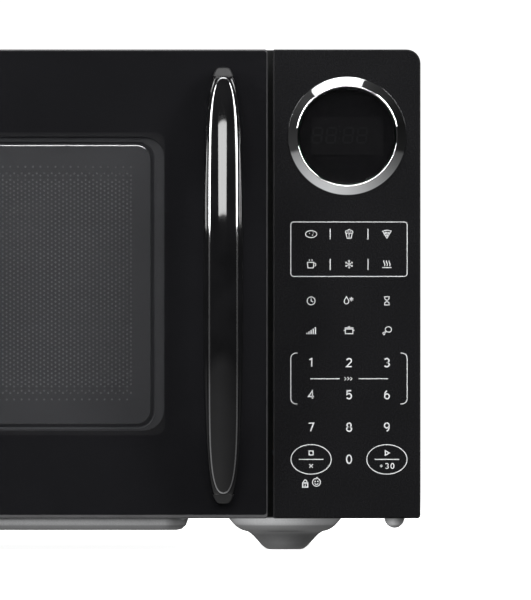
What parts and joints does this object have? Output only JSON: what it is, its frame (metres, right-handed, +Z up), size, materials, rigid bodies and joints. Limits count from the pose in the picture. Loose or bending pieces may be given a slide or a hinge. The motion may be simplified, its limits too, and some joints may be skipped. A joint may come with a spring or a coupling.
{
  "type": "microwave oven",
  "caption": "Countertop microwave oven with a side-hung window door, bowed bar handle, membrane keypad and a glass turntable on a roller ring.",
  "frame": {"origin": "on the resting plane, under the middle of the oven's width and of its depth with the handle", "axes": "+Z up, the door faces -Y, +X to the control panel's side"},
  "size_m": [0.485, 0.4, 0.289],
  "materials": {
    "coated_steel": "semi-gloss powder coat",
    "base_steel": "galvanised, satin",
    "enamel": "pale grey enamel",
    "seal_steel": "grey enamel",
    "zinc_steel": "zinc plated",
    "black_gloss": "piano black",
    "black_matte": "fine grain",
    "door_glass": "clear, smoked",
    "tray_glass": "clear, moulded",
    "clear_film": "clear film",
    "black_print": "fired black print",
    "screen_steel": "dark grey coat",
    "keypad": "smooth membrane with white legends",
    "bezel_chrome": "polished",
    "display_tint": "dark tint",
    "board": "green solder mask",
    "pale_plastic": "natural",
    "switch_plastic": "black",
    "plunger_plastic": "red",
    "copper": "copper, bright",
    "winding": "varnished copper wire",
    "lamination": "varnished laminations",
    "ferrite": "sintered",
    "fin_aluminium": "pressed sheet",
    "mica": "mica sheet",
    "lamp_glass": "warm white",
    "spring_steel": "bright wire",
    "screw_steel": "black oxide",
    "wire_sleeve": "red silicone"
  },
  "bodies": {
    "cabinet": {"base_plate": "base_steel", "wrap_cover": "coated_steel", "back_plate": "base_steel", "front_plate": "seal_steel", "cavity": "enamel", "cord_gland": "black_matte", "cabinet_screws": "screw_steel", "upper_hinge": "zinc_steel", "lower_hinge": "zinc_steel", "control_panel": "black_matte", "keypad_membrane": "keypad", "display_bezel": "bezel_chrome", "display_lens": "display_tint", "display_module": "switch_plastic", "control_board": "board", "latch_board": "pale_plastic", "primary_switch": "switch_plastic", "monitor_switch": "switch_plastic", "secondary_switch": "switch_plastic", "turntable_motor": "zinc_steel", "waveguide": "zinc_steel", "waveguide_cover": "mica", "magnetron_yoke": "zinc_steel", "magnetron_magnets": "ferrite", "magnetron_tube": "copper", "magnetron_fins": "fin_aluminium", "magnetron_filter_box": "zinc_steel", "transformer_core": "lamination", "transformer_windings": "winding", "hv_capacitor": "fin_aluminium", "capacitor_clamp": "zinc_steel", "hv_diode": "switch_plastic", "fan_shroud": "pale_plastic", "fan_motor": "lamination", "air_duct": "pale_plastic", "oven_lamp": "lamp_glass", "thermal_cutouts": "switch_plastic", "noise_filter_board": "board", "hv_leads": "wire_sleeve"},
    "door": {"door_frame": "black_matte", "door_mask": "black_print", "door_glass": "door_glass", "door_screen": "screen_steel", "inner_window": "clear_film", "choke_cover": "black_matte", "door_handle": "black_gloss", "handle_screws": "zinc_steel", "hook_spring": "spring_steel"},
    "latch_bar": {"door_hook": "pale_plastic"},
    "primary_button": {"primary_plunger": "plunger_plastic"},
    "monitor_button": {"monitor_plunger": "plunger_plastic"},
    "secondary_button": {"secondary_plunger": "plunger_plastic"},
    "turntable_drive": {"turntable_shaft": "pale_plastic", "turntable_coupler": "pale_plastic"},
    "glass_plate": {"glass_turntable": "tray_glass"},
    "roller_carrier": {"roller_ring": "pale_plastic"},
    "roller_wheel_1": {"roller_1": "pale_plastic"},
    "roller_wheel_2": {"roller_2": "pale_plastic"},
    "roller_wheel_3": {"roller_3": "pale_plastic"},
    "fan_rotor": {"fan_impeller": "pale_plastic"}
  },
  "joints": [
    {"name": "door_swing", "type": "hinge", "parent": "cabinet", "child": "door", "pos_m": [-0.2335, -0.146, 0.153], "axis": [0, 0, -1], "range_deg": [0, 110]},
    {"name": "hook_travel", "type": "slide", "parent": "door", "child": "latch_bar", "axis": [0, 0, 1], "range_m": [0, 0.004], "stiffness_N_per_m": 80, "springref_m": -0.012, "deforming": ["hook_spring"]},
    {"name": "turntable_spin", "type": "hinge", "parent": "cabinet", "child": "turntable_drive", "pos_m": [-0.051, 0.0255, 0.042], "axis": [0, 0, 1], "continuous": true},
    {"name": "plate_lift", "type": "slide", "parent": "turntable_drive", "child": "glass_plate", "axis": [0, 0, 1], "range_m": [0, 0.03]},
    {"name": "carrier_spin", "type": "hinge", "parent": "cabinet", "child": "roller_carrier", "pos_m": [-0.051, 0.0255, 0.05], "axis": [0, 0, 1], "continuous": true},
    {"name": "fan_spin", "type": "hinge", "parent": "cabinet", "child": "fan_rotor", "pos_m": [0.184, 0.15, 0.17], "axis": [0, 1, 0], "continuous": true},
    {"name": "roller_1_spin", "type": "hinge", "parent": "roller_carrier", "child": "roller_wheel_1", "pos_m": [0.03344, 0.07425, 0.05], "axis": [0.866, 0.5, 0], "continuous": true},
    {"name": "roller_2_spin", "type": "hinge", "parent": "roller_carrier", "child": "roller_wheel_2", "pos_m": [-0.13544, 0.07425, 0.05], "axis": [-0.866, 0.5, 0], "continuous": true},
    {"name": "roller_3_spin", "type": "hinge", "parent": "roller_carrier", "child": "roller_wheel_3", "pos_m": [-0.051, -0.072, 0.05], "axis": [0, -1, 0], "continuous": true},
    {"name": "primary_press", "type": "slide", "parent": "cabinet", "child": "primary_button", "axis": [0, 1, 0], "range_m": [0, 0.0015], "stiffness_N_per_m": 200},
    {"name": "monitor_press", "type": "slide", "parent": "cabinet", "child": "monitor_button", "axis": [0, 1, 0], "range_m": [0, 0.0015], "stiffness_N_per_m": 200},
    {"name": "secondary_press", "type": "slide", "parent": "cabinet", "child": "secondary_button", "axis": [0, 1, 0], "range_m": [0, 0.0015], "stiffness_N_per_m": 200}
  ],
  "couplings": [
    {"joint": "carrier_spin", "follows": "turntable_spin", "ratio": 0.5},
    {"joint": "roller_1_spin", "follows": "turntable_spin", "ratio": -6.25},
    {"joint": "roller_2_spin", "follows": "turntable_spin", "ratio": -6.25},
    {"joint": "roller_3_spin", "follows": "turntable_spin", "ratio": -6.25}
  ]
}
